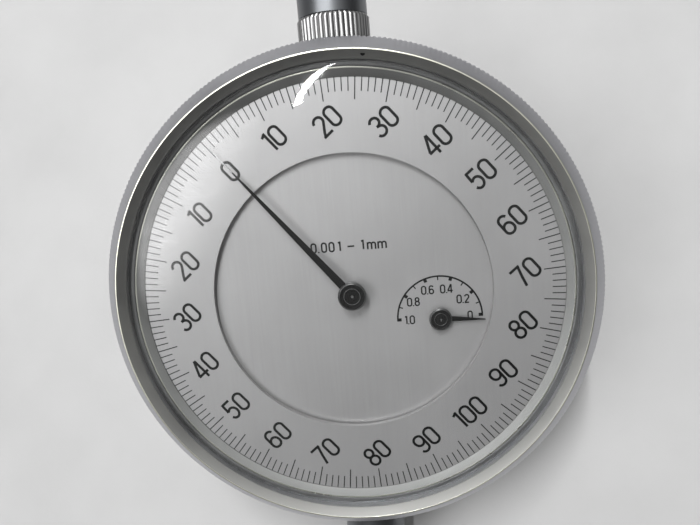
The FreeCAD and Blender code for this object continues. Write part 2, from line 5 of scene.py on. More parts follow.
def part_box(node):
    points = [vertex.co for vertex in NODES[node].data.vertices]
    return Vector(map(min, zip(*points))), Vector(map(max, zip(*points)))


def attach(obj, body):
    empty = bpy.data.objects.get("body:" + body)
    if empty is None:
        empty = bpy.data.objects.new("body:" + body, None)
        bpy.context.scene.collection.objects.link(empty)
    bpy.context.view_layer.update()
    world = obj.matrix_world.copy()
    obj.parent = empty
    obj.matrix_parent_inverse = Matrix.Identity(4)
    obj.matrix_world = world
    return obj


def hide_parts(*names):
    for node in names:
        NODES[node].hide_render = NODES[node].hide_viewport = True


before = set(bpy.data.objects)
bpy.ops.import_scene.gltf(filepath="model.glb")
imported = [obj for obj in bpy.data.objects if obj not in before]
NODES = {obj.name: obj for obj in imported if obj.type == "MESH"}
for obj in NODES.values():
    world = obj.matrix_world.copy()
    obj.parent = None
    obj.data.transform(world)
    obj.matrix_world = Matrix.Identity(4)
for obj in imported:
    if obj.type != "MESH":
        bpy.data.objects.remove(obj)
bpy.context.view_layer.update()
MM = 0.001

# ------------------------------------------------------------------ places, from the frame
rl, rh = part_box("dial_ring")
DC = Vector(((rl[0] + rh[0]) / 2, rl[1], (rl[2] + rh[2]) / 2))     # dial centre on the ring's face
gl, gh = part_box("counter_gear")
CX, CY = ((gl[0] + gh[0]) / 2 - DC.x) / MM, ((gl[2] + gh[2]) / 2 - DC.z) / MM
il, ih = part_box("inner_dial")
INNER_D = (il[1] - DC.y) / MM
sl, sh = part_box("spindle")
AXIS_D = ((sl[1] + sh[1]) / 2 - DC.y) / MM


def P(x, y, d):
    """x right, y up from the dial centre, d behind the ring's face, in mm."""
    return Vector((DC.x + x * MM, DC.y + d * MM, DC.z + y * MM))


# ------------------------------------------------------------------ camera
cam_data = bpy.data.cameras.new("cam")
cam = bpy.data.objects.new("cam", cam_data)
bpy.context.scene.collection.objects.link(cam)
fwd = Vector((-0.0610, 0.9829, -0.1736)).normalized()
up = Vector((0.0755, 0.1779, 0.9811))
up = (up - fwd * up.dot(fwd)).normalized()
right = fwd.cross(up)
M = Matrix((right, up, -fwd)).transposed().to_4x4()
M.translation = P(4.26, 15.82, -68.01)
cam.matrix_world = M
cam_data.sensor_width = 36.0
cam_data.lens = 30.98
cam_data.clip_start = 0.002
cam_data.clip_end = 20.0
bpy.context.scene.camera = cam
bpy.context.scene.view_settings.view_transform = "Standard"
bpy.context.scene.view_settings.look = "None"


# ------------------------------------------------------------------ node helpers
class Mat:
    def __init__(self, name):
        self.m = bpy.data.materials.new(name)
        self.m.use_nodes = True
        self.t = self.m.node_tree
        self.t.nodes.clear()
        self.out = self.n("ShaderNodeOutputMaterial")
        self.b = self.n("ShaderNodeBsdfPrincipled")
        self.l(self.b.outputs[0], self.out.inputs["Surface"])
        self.tc = self.n("ShaderNodeTexCoord")

    def n(self, kind, **kw):
        node = self.t.nodes.new(kind)
        for k, v in kw.items():
            if hasattr(node, k):
                setattr(node, k, v)
            else:
                node.inputs[k].default_value = v
        return node

    def l(self, a, b):
        self.t.links.new(a, b)

    def set(self, **kw):
        for k, v in kw.items():
            k = k.replace("_", " ")
            if k in self.b.inputs:
                self.b.inputs[k].default_value = v
        return self

    def mapped(self, scale=(1, 1, 1), loc=(0, 0, 0)):
        mp = self.n("ShaderNodeMapping")
        mp.inputs["Scale"].default_value = scale
        mp.inputs["Location"].default_value = loc
        self.l(self.tc.outputs["Object"], mp.inputs["Vector"])
        return mp.outputs[0]

    def noise(self, vec, scale, detail=4.0, rough=0.55, dims="3D"):
        nz = self.n("ShaderNodeTexNoise")
        nz.noise_dimensions = dims
        nz.inputs["Scale"].default_value = scale
        nz.inputs["Detail"].default_value = detail
        nz.inputs["Roughness"].default_value = rough
        self.l(vec, nz.inputs["W" if dims == "1D" else "Vector"])
        return nz.outputs["Fac"]

    def remap(self, val, a, b, lo=0.3, hi=0.7):
        mr = self.n("ShaderNodeMapRange")
        mr.inputs["From Min"].default_value = lo
        mr.inputs["From Max"].default_value = hi
        mr.inputs["To Min"].default_value = a
        mr.inputs["To Max"].default_value = b
        self.l(val, mr.inputs["Value"])
        return mr.outputs[0]

    def ramp(self, val, c0, c1, p0=0.3, p1=0.7):
        r = self.n("ShaderNodeValToRGB")
        r.color_ramp.elements[0].position = p0
        r.color_ramp.elements[1].position = p1
        r.color_ramp.elements[0].color = (*c0, 1)
        r.color_ramp.elements[1].color = (*c1, 1)
        self.l(val, r.inputs["Fac"])
        return r.outputs["Color"]

    def bump(self, val, strength, dist, prev=None):
        bp = self.n("ShaderNodeBump")
        bp.inputs["Strength"].default_value = strength
        bp.inputs["Distance"].default_value = dist
        self.l(val, bp.inputs["Height"])
        if prev is not None:
            self.l(prev, bp.inputs["Normal"])
        return bp.outputs[0]

    def radius(self, cx=0.0, cy=0.0):
        """Distance from the depth axis through (cx, cy), in metres."""
        mp = self.mapped((1, 0, 1), (-(DC.x + cx * MM), 0, -(DC.z + cy * MM)))
        ln = self.n("ShaderNodeVectorMath")
        ln.operation = "LENGTH"
        self.l(mp, ln.inputs[0])
        return ln.outputs["Value"]


def metal(name, c0, c1, rough, spread=0.08, aniso=0.0, streak=None, turned=None, grain=900.0, bump=0.03, wear=0.0, axis="Y"):
    """Metal with uneven polish, fine grain, and either straight or turned tool lines."""
    k = Mat(name)
    k.set(Metallic=1.0, Anisotropic=aniso)
    big = k.noise(k.mapped(), 160.0, 3.0)
    fine = k.noise(k.mapped(), grain * 4, 3.0)
    k.l(k.ramp(big, c0, c1), k.b.inputs["Base Color"])
    k.l(k.remap(big, max(rough - spread, 0.02), rough + spread), k.b.inputs["Roughness"])
    nrm = k.bump(fine, bump, 0.00002)
    if streak:
        s = k.noise(k.mapped(streak), 1.0, 5.0, 0.7)
        nrm = k.bump(s, bump * 3, 0.00002, nrm)
    if turned is not None:
        mul = k.n("ShaderNodeMath")
        mul.operation = "MULTIPLY"
        mul.inputs[1].default_value = 9000.0
        k.l(k.radius(*turned), mul.inputs[0])
        t = k.noise(mul.outputs[0], 1.0, 2.0, 0.6, "1D")
        nrm = k.bump(t, bump * 3, 0.00002, nrm)
    k.l(nrm, k.b.inputs["Normal"])
    if aniso:
        tg = k.n("ShaderNodeTangent")
        tg.direction_type = "RADIAL"
        tg.axis = axis
        k.l(tg.outputs[0], k.b.inputs["Tangent"])
    return k.m


def paint(name, c0, c1, rough, metallic=0.0, streak=None, bump=0.05, coat=0.0, spec=0.5, grain=2500.0):
    k = Mat(name)
    k.set(Metallic=metallic, Coat_Weight=coat, Coat_Roughness=0.15, Specular_IOR_Level=spec)
    big = k.noise(k.mapped(), 90.0, 3.0)
    src = big
    nrm = k.bump(k.noise(k.mapped(), grain, 3.0), bump, 0.00002)
    if streak:
        s = k.noise(k.mapped(streak), 1.0, 4.0, 0.65)
        nrm = k.bump(s, bump * 1.5, 0.00002, nrm)
        add = k.n("ShaderNodeMath")
        add.operation = "ADD"
        k.l(big, add.inputs[0])
        k.l(s, add.inputs[1])
        half = k.n("ShaderNodeMath")
        half.operation = "MULTIPLY"
        half.inputs[1].default_value = 0.5
        k.l(add.outputs[0], half.inputs[0])
        src = half.outputs[0]
    k.l(k.ramp(src, c0, c1), k.b.inputs["Base Color"])
    k.l(k.remap(big, rough - 0.05, rough + 0.05), k.b.inputs["Roughness"])
    k.l(nrm, k.b.inputs["Normal"])
    return k.m


def g(v, t=(1, 1, 1)):
    return (v * t[0], v * t[1], v * t[2])


M_SATIN = metal("bezel_satin", g(0.50, (1, 1, 1.05)), g(0.57, (1, 1, 1.04)), 0.46, 0.05, 0.3, turned=(0, 0), bump=0.02)
# painted highlight: the crest's bright line is a lighter, cream-tinted copy of the bezel metal; only its lower
# roughness belongs to the cut edge itself
M_CUT_EDGE_PAINTED_HIGHLIGHT = metal("bezel_cut_edge_painted_highlight", g(0.57, (1, 1, 0.87)), g(0.65, (1, 1, 0.85)), 0.34, 0.05, 0.3, turned=(0, 0), bump=0.015)
# painted shade: the inner wall and the crystal seat are a near-black copy of the bezel metal
M_INNER_WALL_PAINTED_SHADE = metal("bezel_inner_wall_painted_shade", g(0.14), g(0.18), 0.45, 0.06, 0.3, turned=(0, 0), bump=0.02)
# painted highlight: the retaining ring's outer chamfer is a lighter, cream-tinted copy of its metal
M_RING_EDGE_PAINTED_HIGHLIGHT = metal("ring_edge_painted_highlight", g(0.50, (1, 1, 0.90)), g(0.58, (1, 1, 0.88)), 0.30, 0.05, bump=0.01)
M_RETAIN = metal("ring_satin", g(0.23, (1, 1, 0.98)), g(0.28, (1, 1, 0.98)), 0.60, 0.05, 0.3, turned=(0, 0), bump=0.02)
M_CHROME = metal("chrome", g(0.155, (0.96, 1.0, 1.05)), g(0.19, (0.96, 1, 1.05)), 0.38, 0.03, bump=0.01)
M_CHROME_K = metal("chrome_knurl", g(0.27), g(0.34), 0.30, 0.05, bump=0.02)
M_CASE = metal("case_satin", g(0.52), g(0.56), 0.40, 0.03, bump=0.05, grain=500)
M_COVER = metal("cover_turned", g(0.52), g(0.56), 0.36, 0.03, 0.5, turned=(0, 0), bump=0.03)
M_STEEL = metal("steel_ground", g(0.50), g(0.60), 0.26, 0.07, streak=(4000, 4000, 300), bump=0.02)
M_STEEL_D = metal("steel_pins", g(0.46), g(0.58), 0.22, 0.06, bump=0.02)
M_BRASS = metal("brass_wheel", (0.62, 0.44, 0.17), (0.76, 0.57, 0.26), 0.24, 0.07, streak=(2600, 2600, 2600), bump=0.02)
M_PLATE = metal("brass_plate", (0.58, 0.42, 0.18), (0.70, 0.54, 0.27), 0.32, 0.07, streak=(300, 300, 5000), bump=0.03)
M_BLUE = metal("blued_spring", (0.05, 0.08, 0.22), (0.10, 0.14, 0.33), 0.20, 0.05, bump=0.01)
M_GUN = metal("hub_gunmetal", g(0.006), g(0.014), 0.44, 0.06, turned=(0, 0), bump=0.03)
M_GUN2 = metal("hub_gunmetal_small", g(0.016), g(0.034), 0.38, 0.06, turned=(CX, CY), bump=0.03)
# painted highlight: the lighter rim, groove and centre spot of both hubs
M_HUB_RIM_PAINTED_HIGHLIGHT = metal("hub_rim_painted_highlight", g(0.16), g(0.24), 0.28, 0.06, bump=0.02)
M_DIAL = paint("dial_silver", g(0.355, (1, 0.98, 0.985)), g(0.40, (1, 0.98, 0.985)), 0.42, 0.50, streak=(5200, 5200, 90), bump=0.05)
M_RING = paint("ring_silver", g(0.36, (1, 0.98, 0.985)), g(0.40, (1, 0.98, 0.985)), 0.42, 0.50, streak=(5200, 5200, 160), bump=0.05)
M_INK = paint("dial_ink", g(0.003), g(0.006), 0.6, 0.0, bump=0.02, spec=0.12)
M_TICK = paint("tick_ink", g(0.010), g(0.018), 0.6, 0.0, bump=0.02, spec=0.25)
M_POINT = paint("pointer_black", g(0.002), g(0.005), 0.55, 0.0, bump=0.03, spec=0.08)
M_TIP = metal("pointer_tip_bare", g(0.55), g(0.70), 0.22, 0.05, bump=0.01)
M_RUBBER = paint("gasket_rubber", g(0.015), g(0.028), 0.75, 0.0, bump=0.2)

k = Mat("ruby")
k.set(Roughness=0.08, IOR=1.76, Coat_Weight=0.4, Transmission_Weight=0.35)
k.l(k.ramp(k.noise(k.mapped(), 900.0, 2.0), (0.30, 0.01, 0.04), (0.48, 0.02, 0.08)), k.b.inputs["Base Color"])
M_RUBY = k.m

# clear crystal: straight through, with the surface's own gloss on top
k = Mat("crystal_clear")
k.set(Metallic=1.0)
k.l(k.ramp(k.noise(k.mapped(), 120.0, 2.0), g(0.93), g(0.97)), k.b.inputs["Base Color"])
smudge = k.noise(k.mapped((1.0, 1.0, 2.2)), 210.0, 6.0, 0.6)
k.l(k.remap(k.noise(k.mapped(), 420.0, 4.0), 0.015, 0.06, 0.35, 0.8), k.b.inputs["Roughness"])
tr = k.n("ShaderNodeBsdfTransparent")
tr.inputs["Color"].default_value = (0.975, 0.98, 0.98, 1)
fr = k.n("ShaderNodeFresnel")
fr.inputs["IOR"].default_value = 1.53
geo = k.n("ShaderNodeNewGeometry")
front = k.n("ShaderNodeMath")
front.operation = "SUBTRACT"
front.inputs[0].default_value = 1.0
k.l(geo.outputs["Backfacing"], front.inputs[1])
only = k.n("ShaderNodeMath")
only.operation = "MULTIPLY"
k.l(fr.outputs[0], only.inputs[0])
k.l(front.outputs[0], only.inputs[1])
film = k.n("ShaderNodeMath")
film.operation = "ADD"
film.use_clamp = True
k.l(only.outputs[0], film.inputs[0])
veil = k.n("ShaderNodeMath")
veil.operation = "MULTIPLY"
k.l(k.remap(smudge, 0.0, 0.014, 0.50, 0.72), veil.inputs[0])
k.l(front.outputs[0], veil.inputs[1])
k.l(veil.outputs[0], film.inputs[1])
mx = k.n("ShaderNodeMixShader")
k.l(film.outputs[0], mx.inputs[0])
k.l(tr.outputs[0], mx.inputs[1])
k.l(k.b.outputs[0], mx.inputs[2])
k.l(mx.outputs[0], k.out.inputs["Surface"])
M_CRYSTAL = k.m


# ------------------------------------------------------------------ mesh helpers
def finish_mesh(name, bm, mats, sharp=32.0, smooth=True):
    bmesh.ops.remove_doubles(bm, verts=bm.verts, dist=1e-8)
    bmesh.ops.dissolve_degenerate(bm, edges=bm.edges, dist=1e-9)
    bmesh.ops.recalc_face_normals(bm, faces=bm.faces)
    if smooth:
        lim = math.radians(sharp)
        for f in bm.faces:
            f.smooth = True
        for e in bm.edges:
            if len(e.link_faces) == 2 and e.calc_face_angle(0.0) > lim:
                e.smooth = False
    me = bpy.data.meshes.new(name)
    bm.to_mesh(me)
    bm.free()
    for m in mats:
        me.materials.append(m)
    o = bpy.data.objects.new(name, me)
    bpy.context.scene.collection.objects.link(o)
    return o


def rounded(prof, rad=0.05, n=3, closed=True):
    """Rounds the corners of a profile; rad may be a number or a list per point."""
    out = []
    N = len(prof)
    for i, p in enumerate(prof):
        r = rad[i] if isinstance(rad, (list, tuple)) else rad
        a, c = Vector(prof[i - 1]), Vector(prof[(i + 1) % N])
        b = Vector(p)
        if r <= 0 or b.x < 1e-6 or (not closed and i in (0, N - 1)):
            out.append((b.x, b.y))
            continue
        u, v = (a - b), (c - b)
        lu, lv = u.length, v.length
        if lu < 1e-9 or lv < 1e-9:
            out.append((b.x, b.y))
            continue
        u.normalize(); v.normalize()
        ang = math.acos(max(-1, min(1, u.dot(v))))
        t = min(r / math.tan(ang / 2) if ang > 1e-3 else 0, 0.45 * lu, 0.45 * lv)
        p0, p1 = b + u * t, b + v * t
        for j in range(n + 1):
            s = j / n
            q = (1 - s) ** 2 * p0 + 2 * s * (1 - s) * b + s * s * p1
            out.append((q.x, q.y))
    return out


def lathe(name, prof, mats, segs=256, axis="d", at=(0, 0), mat_of=None, ripple=None, sharp=32.0):
    """prof: closed (r, d) outline about the depth axis, or (r, y) about the spindle's."""
    bm = bmesh.new()
    rings = []
    for s in range(segs):
        a = 2 * math.pi * s / segs
        col = []
        for r, w in prof:
            rr = r + (ripple(r, w, s, a) if ripple else 0.0)
            if axis == "d":
                col.append(bm.verts.new(P(at[0] + rr * math.cos(a), at[1] + rr * math.sin(a), w)))
            else:
                col.append(bm.verts.new(P(at[0] + rr * math.cos(a), w, AXIS_D + rr * math.sin(a))))
        rings.append(col)
    n = len(prof)
    for s in range(segs):
        A, B = rings[s], rings[(s + 1) % segs]
        for i in range(n):
            j = (i + 1) % n
            if prof[i][0] < 1e-7 and prof[j][0] < 1e-7:
                continue
            f = bm.faces.new((A[i], A[j], B[j], B[i]))
            if mat_of:
                f.material_index = mat_of((prof[i][0] + prof[j][0]) / 2, (prof[i][1] + prof[j][1]) / 2)
    return finish_mesh(name, bm, mats, sharp)


def ribbon(bm, pts, width, d, mat=0, closed=False, cap=True):
    """Flat stroke of that width along pts (x, y in mm) on the plane at depth d."""
    q = [Vector(p) for p in pts]
    n = len(q)
    L, R = [], []
    for i in range(n):
        if closed:
            t = (q[(i + 1) % n] - q[i - 1])
        else:
            t = q[min(i + 1, n - 1)] - q[max(i - 1, 0)]
        t.normalize()
        nrm = Vector((-t.y, t.x))
        k2 = 1.0
        if closed or 0 < i < n - 1:
            t0 = (q[i] - q[i - 1]).normalized()
            c = abs(t0.x * t.x + t0.y * t.y)
            k2 = 1.0 / max(c, 0.6)
        L.append(bm.verts.new(P(*(q[i] + nrm * (width / 2 * k2)), d)))
        R.append(bm.verts.new(P(*(q[i] - nrm * (width / 2 * k2)), d)))
    m = n if closed else n - 1
    for i in range(m):
        j = (i + 1) % n
        f = bm.faces.new((L[i], L[j], R[j], R[i]))
        f.material_index = mat


def arc(cx, cy, rx, ry, a0, a1, n=14):
    return [(cx + rx * math.cos(math.radians(a0 + (a1 - a0) * i / n)),
             cy + ry * math.sin(math.radians(a0 + (a1 - a0) * i / n))) for i in range(n + 1)]


GW, GH = 1.13, 2.21     # stroke centre lines of a full-size figure


def glyph(ch):
    """Strokes of a condensed plain figure: list of (points, closed), and its width."""
    W, H = GW, GH
    h = W / 2
    if ch == "0":
        return [(arc(h, H - 0.52, h, 0.52, 0, 180) + arc(h, 0.52, h, 0.52, 180, 360), True)], W
    if ch == "1":
        return [([(0.46, 0), (0.46, H + 0.14)], False),
                ([(0.46, H + 0.02), (0.30, H - 0.10), (0.0, H - 0.22)], False)], 0.46
    if ch == "2":
        return [(arc(h, H - 0.55, h - 0.01, 0.55, 172, -28, 16) + [(0.80, 1.05), (0.30, 0.40), (0.09, 0.0)], False),
                ([(-0.10, 0.0), (W + 0.02, 0.0)], False)], W
    if ch == "3":
        return [(arc(h - 0.02, H - 0.52, h - 0.03, 0.52, 158, -80, 16) + [(0.42, H / 2 + 0.06)], False),
                ([(0.42, H / 2 + 0.06)] + arc(h - 0.02, 0.57, h + 0.01, 0.57, 80, -160, 16), False)], W
    if ch == "4":
        return [([(0.74, H + 0.14), (-0.13, 0.56)], False), ([(-0.22, 0.50), (W + 0.10, 0.50)], False),
                ([(0.79, H + 0.14), (0.79, -0.14)], False)], W
    if ch == "5":
        return [([(W - 0.02, H), (0.10, H)], False), ([(0.12, H + 0.13), (0.05, 1.10)], False),
                ([(0.05, 1.12)] + arc(h - 0.02, 0.68, h + 0.0, 0.68, 128, -155, 18), False)], W
    if ch == "6":
        return [(arc(h, H - 0.52, h - 0.02, 0.52, 22, 180) + [(0.0, 0.62)], False),
                (arc(h, 0.64, h, 0.64, 0, 180) + arc(h, 0.52, h, 0.52, 180, 360), True)], W
    if ch == "9":
        s, w = glyph("6")
        return [([(W - x, H - y) for x, y in p], c) for p, c in s], w
    if ch == "7":
        return [([(-0.12, H), (W + 0.06, H)], False), ([(W - 0.04, H + 0.10), (0.70, 1.10), (0.38, -0.14)], False)], W
    if ch == "8":
        return [(arc(h, H - 0.53, h - 0.07, 0.53, 0, 360, 26)[:-1], True), (arc(h, 0.57, h, 0.59, 0, 360, 26)[:-1], True)], W
    if ch == ".":
        return [([(0.0, -0.14), (0.0, 0.16)], False)], 0.0
    if ch == "-":
        return [([(0.0, 0.95), (1.65, 0.95)], False)], 1.65
    if ch == "m":
        x = 1.50
        return [([(0, -0.14), (0, x + 0.12)], False),
                ([(0.0, x - 0.38)] + arc(0.48, x - 0.42, 0.48, 0.42, 165, 0, 10) + [(0.96, -0.14)], False),
                ([(0.96, x - 0.38)] + arc(1.44, x - 0.42, 0.48, 0.42, 165, 0, 10) + [(1.92, -0.14)], False)], 1.92
    return [], 0.4


def write(bm, text, cx, cy, height, stroke, angle, d, gap=0.46, mat=0):
    """Writes figures centred on (cx, cy), turned by angle degrees, cap height in mm."""
    sc = height / (GH + 0.29)
    items, x = [], 0.0
    for ch in text:
        if ch == " ":
            x += 0.55
            continue
        strokes, w = glyph(ch)
        items.append((x, strokes))
        x += w + gap
    total = x - gap
    ca, sa = math.cos(math.radians(angle)), math.sin(math.radians(angle))
    for x0, strokes in items:
        for pts, closed in strokes:
            q = []
            for px, py in pts:
                u, v = (px + x0 - total / 2) * sc, (py - GH / 2) * sc
                q.append((cx + u * ca - v * sa, cy + u * sa + v * ca))
            ribbon(bm, q, stroke, d, mat, closed)


# ------------------------------------------------------------------ bezel
KN = 320
CREST = 26.95
bez = [(CREST - 0.07, -2.3), (CREST + 0.06, -2.29), (28.34, -0.88), (28.5, -0.62), (28.5, 3.55), (28.2, 3.9),
       (25.9, 3.9), (25.9, 1.0), (24.9, 1.0), (24.9, 0.6), (25.4, 0.6), (25.4, -0.55), (25.6, -0.62), (26.1, -0.62),
       (26.1, -1.45), (25.98, -1.52)]
bez = rounded(bez, [0.05, 0.09, 0.12, 0.06, 0.1, 0.05, 0.05, 0, 0, 0, 0, 0.04, 0.0, 0.0, 0.03, 0.05], 4)


def bez_mat(r, d):
    # crest: painted highlight
    if d < -2.22 and r < CREST + 0.12:
        return 1
    # inner wall and crystal seat: painted shade
    if r < 26.05 and d > -0.7:
        return 2
    # inner slope: painted shade
    if d < -1.4 and r < CREST - 0.1:
        return 3
    return 0


def bez_ripple(r, d, s, a):
    if r > 28.3 and d < 3.6:
        ph = s % 4
        return (-0.12, 0.0, 0.0, -0.03)[ph] * min(1.0, (r - 28.3) / 0.18)
    return 0.0


# extra rings so that the knurl starts and ends cleanly
full = []
for i, p in enumerate(bez):
    full.append(p)
    q = bez[(i + 1) % len(bez)]
    if p[0] > 28.4 and q[0] > 28.4 and abs(q[1] - p[1]) > 2:
        full += [(28.5, 3.3)]
# painted shade: the inner slope is a darker copy of the bezel metal
M_SLOPE_PAINTED_SHADE = metal("bezel_inner_slope_painted_shade", g(0.25, (1, 1, 0.97)), g(0.30, (1, 1, 0.96)), 0.60, 0.05, 0.35, turned=(0, 0), bump=0.02)
bezel = lathe("bezel_turned", full, [M_SATIN, M_CUT_EDGE_PAINTED_HIGHLIGHT, M_INNER_WALL_PAINTED_SHADE, M_SLOPE_PAINTED_SHADE], segs=KN * 4, mat_of=bez_mat, ripple=bez_ripple, sharp=38)
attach(bezel, "bezel_body"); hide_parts("bezel")

ret = rounded([(24.38, 0), (24.38, -0.12), (25.22, -0.54), (25.36, -0.56), (25.4, -0.5), (25.4, 0)], [0, 0.04, 0.06, 0.05, 0, 0], 4)
# the outer chamfer slot carries the painted highlight
ring = lathe("dial_retainer", ret, [M_RETAIN, M_RING_EDGE_PAINTED_HIGHLIGHT], segs=360, mat_of=lambda r, d: 1 if (r > 25.2 and d < -0.50) else 0)
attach(ring, "bezel_body"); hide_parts("retaining_ring")

bm = bmesh.new()
ring_pts = []
ca, sa = 3.35 / 26.3, 26.08 / 26.3
for i in range(14):
    t = 2 * math.pi * i / 14
    a, b2 = 0.26 * math.cos(t), (0.17 + 0.05 * math.sin(3 * t)) * math.sin(t)
    r = 26.42 + b2 * 0.72
    d = -1.52 - (r - 25.98) * (0.78 / 0.9) - 0.012
    ring_pts.append(bm.verts.new(P(r * ca + a * sa, r * sa - a * ca, d)))
bm.faces.new(ring_pts)
M_NICK = paint("bezel_nick_dark", g(0.010), g(0.022), 0.7, 0.0, bump=0.1, spec=0.1)
nick = finish_mesh("bezel_nick", bm, [M_NICK], smooth=False)
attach(nick, "bezel_body")

# ------------------------------------------------------------------ crystal
T = -2.95
knots = [(0, 0.0), (8, 0.006), (14, 0.014), (18, 0.028), (20, 0.045), (21.5, 0.075), (22.8, 0.125), (23.8, 0.20), (24.6, 0.31),
         (25.2, 0.46), (25.6, 0.66), (25.9, 0.95), (26.08, 1.35)]


def slope(r):
    for (r0, s0), (r1, s1) in zip(knots, knots[1:]):
        if r <= r1:
            t = (r - r0) / (r1 - r0)
            return s0 + (s1 - s0) * t
    return knots[-1][1]


top, r, d = [(0.0, T)], 0.0, T
while r < 26.079:
    h = 1.0 if r < 17 else 0.25 if r < 24 else 0.1 if r < 25.5 else 0.04
    h = min(h, 26.08 - r)
    d += math.tan(min(slope(r + h / 2), 1.35)) * h
    r += h
    top.append((r, d))
stretch = (-1.38 - T) / (top[-1][1] - T)
top = [(p, T + (q - T) * stretch) for p, q in top]
bot = rounded([(26.08, -0.64), (25.42, -0.62), (25.2, -0.95), (24.3, -1.35), (22.5, -1.66), (19, -1.82), (12, -1.93), (6, -1.97), (0, -1.98)],
              [0.05, 0.1, 0.4, 0.8, 1, 2, 2, 3, 0], 5)
cr = top + bot
crystal = lathe("crystal_dome", cr, [M_CRYSTAL], segs=384, sharp=60)
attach(crystal, "bezel_body"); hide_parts("crystal")

# ------------------------------------------------------------------ dial prints
ZERO = 39.55                   # the ring's zero, anticlockwise from straight up
bm = bmesh.new()
D0 = -0.012
for i in range(200):
    th = math.radians(90 + ZERO - 1.8 * i)
    long_ = i % 5 == 0
    r0 = 21.96 if long_ else 22.86
    c, s = math.cos(th), math.sin(th)
    ribbon(bm, [(r0 * c, r0 * s), (24.5 * c, 24.5 * s)], 0.125 if long_ else 0.115, D0, 1)
for k2 in range(20):
    val = 10 * k2 if k2 <= 10 else 10 * (20 - k2)
    th = math.radians(90 + ZERO - 18.0 * k2)
    write(bm, str(val), 19.87 * math.cos(th) + 0.10, 19.87 * math.sin(th) - 0.04, 2.55, 0.315, ZERO, D0)
scale = finish_mesh("ring_scale", bm, [M_INK, M_TICK], smooth=False)
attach(scale, "bezel_body")

bm = bmesh.new()
D1 = INNER_D - 0.012
R = 4.93
ribbon(bm, [(CX + R * math.cos(math.radians(a)), CY + R * math.sin(math.radians(a))) for a in range(-2, 183, 2)], 0.20, D1)
for i in range(11):
    a = math.radians(18 * i)
    c, s = math.cos(a), math.sin(a)
    if i % 2 == 0:
        ribbon(bm, [(CX + 4.50 * c, CY + 4.50 * s), (CX + 4.98 * c, CY + 4.98 * s)], 0.38, D1)
    else:
        ribbon(bm, [(CX + 4.46 * c, CY + 4.46 * s), (CX + 4.98 * c, CY + 4.98 * s)], 0.14, D1)
for t, dx, dy in (("0", 3.52, 0.0), ("0.2", 2.79, 2.02), ("0.4", 0.95, 3.36), ("0.6", -1.25, 3.36), ("0.8", -2.98, 2.07), ("1.0", -3.55, -0.09)):
    write(bm, t, CX + dx, CY + dy, 1.04, 0.165, 0, D1, gap=0.50)
for ch, x in (("0", -4.10), (".", -3.54), ("0", -2.88), ("0", -2.00), ("1", -1.12), ("-", 0.24), ("1", 1.58), ("m", 2.64), ("m", 3.86)):
    write(bm, ch, x, 5.62, 1.18, 0.19, 0, D1)
prints = finish_mesh("inner_dial_scale", bm, [M_INK], smooth=False)
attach(prints, "case_body")


# ------------------------------------------------------------------ pointers and hubs
def hand(name, c, ang, prof, d0, d1, eye, bore, mats, tip_r):
    """Tapered hand with a slightly crowned upper face."""
    bm = bmesh.new()
    ux, uy = math.cos(ang), math.sin(ang)
    rows = []
    for r, h in prof:
        row = []
        for side, dd in ((1, d1), (1, d0 + 0.05), (0.55, d0), (-0.55, d0), (-1, d0 + 0.05), (-1, d1)):
            row.append(bm.verts.new(P(c[0] + ux * r - uy * h * side, c[1] + uy * r + ux * h * side, dd)))
        rows.append(row)
    for i in range(len(rows) - 1):
        for j in range(6):
            f = bm.faces.new((rows[i][j], rows[i][(j + 1) % 6], rows[i + 1][(j + 1) % 6], rows[i + 1][j]))
            f.material_index = 1 if (prof[i][0] + prof[i + 1][0]) / 2 > tip_r else 0
    bm.faces.new(rows[0]); bm.faces.new(rows[-1])
    segs = 64
    loops = []
    for s in range(segs):
        a = 2 * math.pi * s / segs
        loops.append([bm.verts.new(P(c[0] + rr * math.cos(a), c[1] + rr * math.sin(a), dd))
                      for rr, dd in ((bore, d0), (eye - 0.03, d0), (eye, d0 + 0.03), (eye, d1), (bore, d1))])
    for s in range(segs):
        A, B = loops[s], loops[(s + 1) % segs]
        for i in range(5):
            bm.faces.new((A[i], A[(i + 1) % 5], B[(i + 1) % 5], B[i]))
    return finish_mesh(name, bm, mats, 50)


REST = math.radians(90 + 39.0)
main = hand("main_hand", (0, 0), REST,
            [(1.0, 0.47), (3.0, 0.44), (6.0, 0.385), (10.0, 0.30), (14.0, 0.215), (17.0, 0.145), (18.6, 0.10), (19.4, 0.07), (21.0, 0.058), (23.1, 0.035)],
            -0.72, -0.52, 1.3, 0.7, [M_POINT, M_TIP], 19.0)
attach(main, "centre_wheel"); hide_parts("pointer")
small = hand("counter_hand", (CX, CY), math.radians(-4.8),
             [(0.8, 0.29), (2.0, 0.27), (3.4, 0.17), (4.6, 0.085), (5.2, 0.05)], 0.2, 0.36, 0.95, 0.65, [M_POINT, M_TIP], 99)
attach(small, "counter_wheel"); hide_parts("counter_pointer")

hub = rounded([(0, -0.99), (0.16, -0.99), (0.30, -1.12), (0.34, -1.12), (0.36, -1.08), (0.86, -1.08), (0.90, -1.12), (0.96, -1.12), (1.0, -1.08),
               (1.32, -1.08), (1.36, -1.15), (1.46, -1.15), (1.65, -0.98), (1.65, -0.73), (0.7, -0.73), (0.7, -0.5),
               (1.45, -0.5), (1.45, 0.45), (0.4, 0.45), (0.4, -0.9), (0, -0.9)],
              [0, 0.02, 0.02, 0.01, 0.01, 0.01, 0.01, 0.01, 0.01, 0.02, 0.02, 0.03, 0.05, 0.03, 0, 0, 0.03, 0.03, 0, 0, 0], 3)
